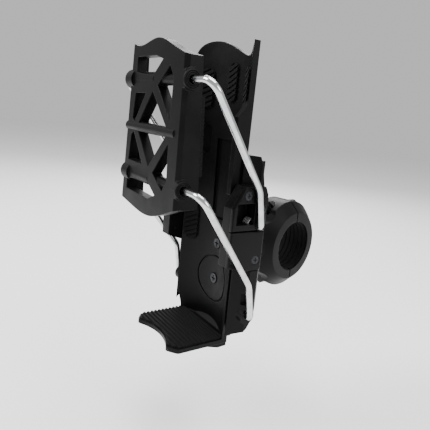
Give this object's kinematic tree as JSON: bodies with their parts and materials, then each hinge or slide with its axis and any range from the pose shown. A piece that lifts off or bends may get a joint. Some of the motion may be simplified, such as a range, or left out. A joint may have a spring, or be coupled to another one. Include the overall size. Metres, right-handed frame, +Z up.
{
  "type": "phone handlebar mount",
  "caption": "Handlebar mount: a split ring clamp carries a hollow back plate on a ball, with a ledge below and a sprung lattice jaw on parallel steel wires in front.",
  "frame": {"origin": "centre of the handlebar bore, on the bar's axis in the middle of the ring's width", "axes": "+X along the handlebar to the rider's right as seen from the jaw side, +Y to the rear (away from the jaw), +Z up; the holder stands turned 12 degrees on its ball at rest"},
  "size_m": [0.092, 0.137, 0.1682],
  "materials": {
    "moulding": "satin black glass-filled nylon, fine moulded texture",
    "cover": "satin black, slightly smoother than the housing",
    "wire": "polished stainless wire with faint drawing lines",
    "rubber": "matte near-black rubber with moulded ribs",
    "bush": "plain black acetal",
    "fastener": "black oxide steel",
    "ball": "machined, clear anodised",
    "spring": "bright spring wire"
  },
  "bodies": {
    "clamp": {"clamp_front": "moulding", "clamp_rear": "moulding", "clamp_liner_front": "rubber", "clamp_liner_rear": "rubber", "clamp_bolts": "fastener", "clamp_nuts": "fastener"},
    "stud": {"ball_stud": "ball", "friction_washer": "bush", "stud_nut": "fastener"},
    "holder": {"socket_collar": "moulding", "rear_housing": "moulding", "back_plate": "moulding", "grip_strips_upper": "rubber", "grip_strips_lower": "rubber", "ledge_pad": "rubber", "plate_screws": "fastener", "upper_cover_left": "cover", "upper_cover_right": "cover", "lower_cover_left": "cover", "lower_cover_right": "cover", "cover_screws": "fastener", "torsion_spring_left": "spring", "torsion_spring_right": "spring"},
    "upper_link": {"upper_wire": "wire"},
    "lower_link": {"lower_wire": "wire"},
    "jaw": {"jaw_frame": "moulding", "jaw_pad_left": "rubber", "jaw_pad_right": "rubber", "jaw_bushes_upper": "bush", "jaw_bushes_lower": "bush"}
  },
  "joints": [
    {"name": "stud_roll", "type": "hinge", "parent": "clamp", "child": "stud", "pos_m": [0, -0.045, 0], "axis": [0, 1, 0], "range_deg": [-90, 90]},
    {"name": "ball_pan", "type": "hinge", "parent": "stud", "child": "holder", "pos_m": [0, -0.045, 0], "axis": [0, 0, 1], "range_deg": [-3, 27]},
    {"name": "upper_swing", "type": "hinge", "parent": "holder", "child": "upper_link", "pos_m": [-0.00262, -0.05733, 0.0252], "axis": [0.9781, -0.2079, 0], "range_deg": [0, 55], "stiffness_Nm_per_rad": 0.25, "springref_deg": -57.3},
    {"name": "lower_swing", "type": "hinge", "parent": "holder", "child": "lower_link", "pos_m": [-0.00262, -0.05733, -0.025], "axis": [0.9781, -0.2079, 0], "range_deg": [0, 55]},
    {"name": "jaw_pivot", "type": "hinge", "parent": "upper_link", "child": "jaw", "pos_m": [-0.01573, -0.09686, 0.0934], "axis": [0.9781, -0.2079, 0], "range_deg": [-55, 0]}
  ],
  "couplings": [
    {"joint": "lower_swing", "follows": "upper_swing", "ratio": 1},
    {"joint": "jaw_pivot", "follows": "upper_swing", "ratio": -1}
  ]
}
